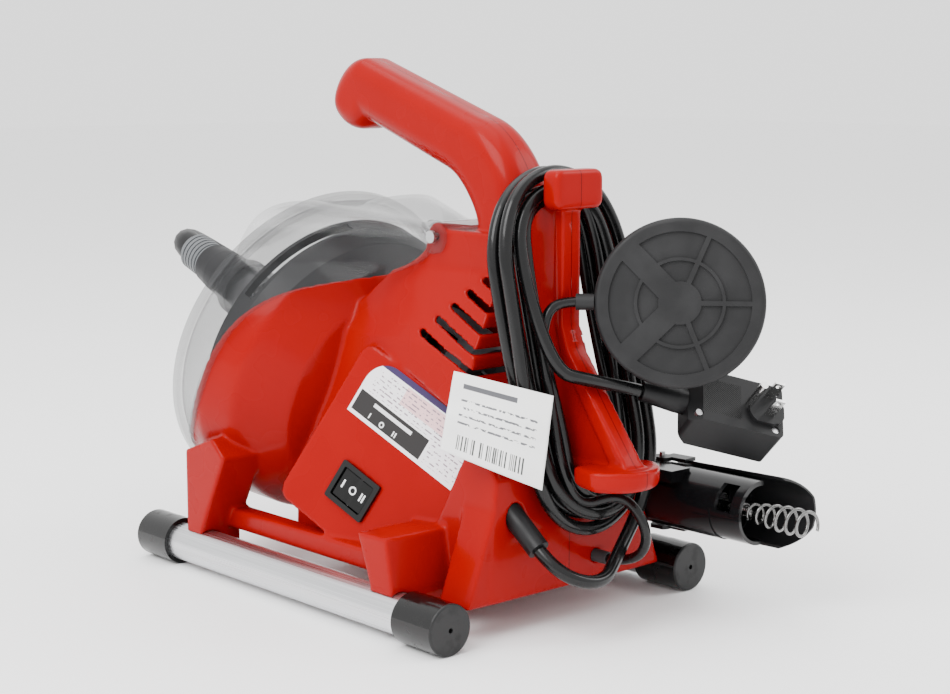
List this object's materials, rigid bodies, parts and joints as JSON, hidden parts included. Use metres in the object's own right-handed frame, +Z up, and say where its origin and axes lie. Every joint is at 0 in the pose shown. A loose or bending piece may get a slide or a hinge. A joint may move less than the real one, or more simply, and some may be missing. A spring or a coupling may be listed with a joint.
{
  "type": "drain snake machine",
  "caption": "Compact powered drain snake machine with tilted drum, clear cover, carrying handle, rail feet, feed head and air pedal.",
  "frame": {"origin": "centre of the footprint, on the surface that the rail caps rest on", "axes": "+Z up, -Y towards the cable outlet, +X towards the switch"},
  "size_m": [0.2612, 0.566, 0.3482],
  "materials": {
    "red_shell": "glossy moulded shell",
    "clear_cover": "clear polycarbonate",
    "aluminium_rail": "brushed tube",
    "rubber_cap": "black, polished",
    "steel": "bright zinc",
    "dark_drum": "textured black",
    "cable_steel": "wound spring wire",
    "motor_metal": "satin",
    "gear_plastic": "natural nylon",
    "gear_steel": "machined",
    "black_plastic": "moulded black",
    "matte_black": "matte black",
    "dark_rubber": "dark grey rubber",
    "cuff_rubber": "matte black rubber",
    "rib_grey": "grey ribbed end",
    "cord_black": "glossy PVC",
    "white_paper": "coated card",
    "plug_grey": "dark grey moulding",
    "pin_chrome": "nickel plate"
  },
  "bodies": {
    "machine": {"housing_left": "red_shell", "housing_right": "red_shell", "housing_screws": "steel", "rail_left": "aluminium_rail", "rail_right": "aluminium_rail", "rail_caps": "rubber_cap", "rail_screws": "steel", "drum_cover": "clear_cover", "cover_screws": "steel", "outlet_tube": "steel", "nose_cuff": "cuff_rubber", "hose_end": "rib_grey", "front_bearing": "steel", "rear_bearing": "steel", "gear_plate": "motor_metal", "motor_can": "motor_metal", "switch_body": "black_plastic", "switch_pin": "steel", "mode_label": "white_paper", "air_switch": "matte_black", "head_body": "black_plastic", "head_pins": "steel", "hose_collar": "black_plastic", "head_clip": "black_plastic", "pedal_base": "dark_rubber", "pedal_bellows": "dark_rubber", "pedal_ferrule": "dark_rubber", "plug_front": "plug_grey", "plug_back": "plug_grey", "plug_pins": "pin_chrome", "plug_screws": "steel", "plug_strain_relief": "dark_rubber", "mains_hank": "cord_black", "air_hank": "cord_black", "mains_cord_start": "cord_black", "mains_cord_end": "cord_black", "air_tube_start": "cord_black", "air_tube_end": "cord_black", "guide_hose": "cord_black", "cord_gland": "matte_black", "cord_tag": "white_paper"},
    "drum": {"drum_shell": "dark_drum", "cable_coil": "cable_steel", "guide_cone": "dark_drum", "drum_shaft": "steel", "drum_gear": "gear_plastic"},
    "motor_rotor": {"motor_pinion": "gear_steel", "armature": "gear_steel", "motor_fan": "matte_black"},
    "cable_end": {"cable_tip": "cable_steel"},
    "roller_1": {"feed_roller_1": "gear_steel"},
    "roller_2": {"feed_roller_2": "gear_steel"},
    "roller_3": {"feed_roller_3": "gear_steel"},
    "lever": {"squeeze_lever": "matte_black"},
    "rocker": {"switch_rocker": "black_plastic"},
    "pedal": {"pedal_top": "dark_rubber"},
    "test_button": {"plug_test_button": "black_plastic"},
    "reset_button": {"plug_reset_button": "black_plastic"}
  },
  "joints": [
    {"name": "drum_spin", "type": "hinge", "parent": "machine", "child": "drum", "pos_m": [0, -0.107, 0.146], "axis": [0, -0.9397, 0.342], "continuous": true},
    {"name": "rotor_spin", "type": "hinge", "parent": "machine", "child": "motor_rotor", "pos_m": [0, -0.08802, 0.19815], "axis": [0, -0.9397, 0.342], "continuous": true},
    {"name": "cable_spin", "type": "hinge", "parent": "machine", "child": "cable_end", "pos_m": [-0.09, 0.15, 0.067], "axis": [0, 1, 0], "continuous": true},
    {"name": "roller_1_spin", "type": "hinge", "parent": "machine", "child": "roller_1", "pos_m": [-0.08575, 0.185, 0.07436], "axis": [0, 1, 0], "continuous": true},
    {"name": "roller_2_spin", "type": "hinge", "parent": "machine", "child": "roller_2", "pos_m": [-0.08575, 0.185, 0.05964], "axis": [0, 1, 0], "continuous": true},
    {"name": "lever_squeeze", "type": "hinge", "parent": "machine", "child": "lever", "pos_m": [-0.09, 0.146, 0.067], "axis": [0, 0, 1], "range_deg": [-3.7, 0], "stiffness_Nm_per_rad": 4, "springref_deg": 2.86},
    {"name": "roller_3_spin", "type": "hinge", "parent": "lever", "child": "roller_3", "pos_m": [-0.1012, 0.18431, 0.067], "axis": [-0.0698, 0.9976, 0], "continuous": true},
    {"name": "rocker_tilt", "type": "hinge", "parent": "machine", "child": "rocker", "pos_m": [0.07524, 0.0331, 0.07325], "axis": [-0.3536, 0.3675, 0.8602], "range_deg": [-12, 12]},
    {"name": "pedal_press", "type": "slide", "parent": "machine", "child": "pedal", "axis": [0.7385, 0.6564, 0.1541], "range_m": [0, 0.0035], "stiffness_N_per_m": 2500, "springref_m": -0.002},
    {"name": "test_press", "type": "slide", "parent": "machine", "child": "test_button", "axis": [0.232, 0.7229, 0.6509], "range_m": [0, 0.001], "stiffness_N_per_m": 800, "springref_m": -0.001},
    {"name": "reset_press", "type": "slide", "parent": "machine", "child": "reset_button", "axis": [0.232, 0.7229, 0.6509], "range_m": [0, 0.001], "stiffness_N_per_m": 800, "springref_m": -0.001}
  ],
  "couplings": [
    {"joint": "rotor_spin", "follows": "drum_spin", "ratio": -5},
    {"joint": "cable_spin", "follows": "drum_spin", "ratio": 1}
  ]
}
